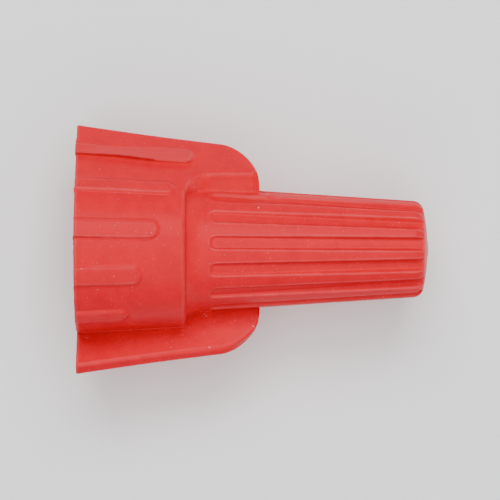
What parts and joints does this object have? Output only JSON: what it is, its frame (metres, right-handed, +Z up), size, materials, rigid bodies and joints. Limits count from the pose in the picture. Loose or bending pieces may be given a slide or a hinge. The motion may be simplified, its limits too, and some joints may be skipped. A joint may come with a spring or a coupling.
{
  "type": "winged twist-on wire connector",
  "caption": "Winged twist-on wire connector: flared skirt with two swept wings and grip ribs, fluted tapered barrel with a closed tip, and a conical wire spring inside.",
  "frame": {"origin": "centre of the open mouth, in the plane of the mouth rim", "axes": "+X runs along the connector's axis from the mouth to the closed tip, +Y out along one wing, +Z up with both wings lying flat"},
  "size_m": [0.0282, 0.02, 0.0138],
  "materials": {
    "shell": "satin moulded red plastic with a fine spark texture",
    "spring": "zinc-plated square spring wire"
  },
  "bodies": {
    "root": {"shell": "shell", "spring": "spring"}
  },
  "joints": []
}
